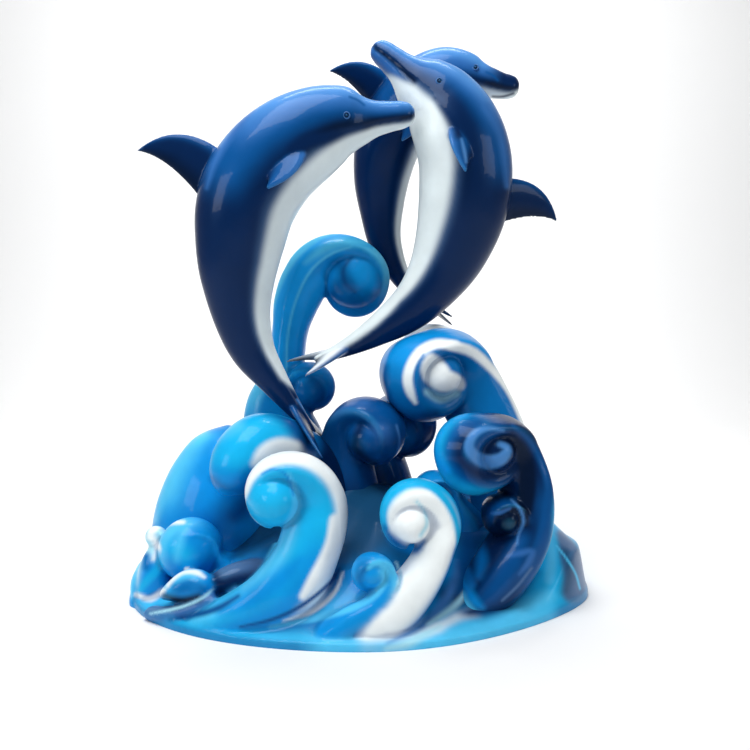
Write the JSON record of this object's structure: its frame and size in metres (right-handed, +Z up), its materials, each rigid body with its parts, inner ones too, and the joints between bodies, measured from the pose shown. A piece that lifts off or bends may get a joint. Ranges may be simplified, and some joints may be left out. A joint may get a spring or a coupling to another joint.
{
  "type": "fiberglass dolphin sculpture",
  "caption": "Freestanding glossy sculpture of leaping dolphins joined above a mound of curling stylised waves on an oval base.",
  "frame": {"origin": "middle of the flat underside of the oval base", "axes": "+X to the sculpture's right as seen from its front, -Y toward its front, +Z up"},
  "size_m": [1.6, 1.24, 1.95],
  "materials": {
    "wave_gelcoat": "glossy light to navy blue gel coat with white crests",
    "dolphin_gelcoat": "glossy navy gel coat fading to a white belly"
  },
  "bodies": {
    "root": {"wave_base": "wave_gelcoat", "left_dolphin": "dolphin_gelcoat", "middle_dolphin": "dolphin_gelcoat", "rear_dolphin": "dolphin_gelcoat"}
  },
  "joints": []
}
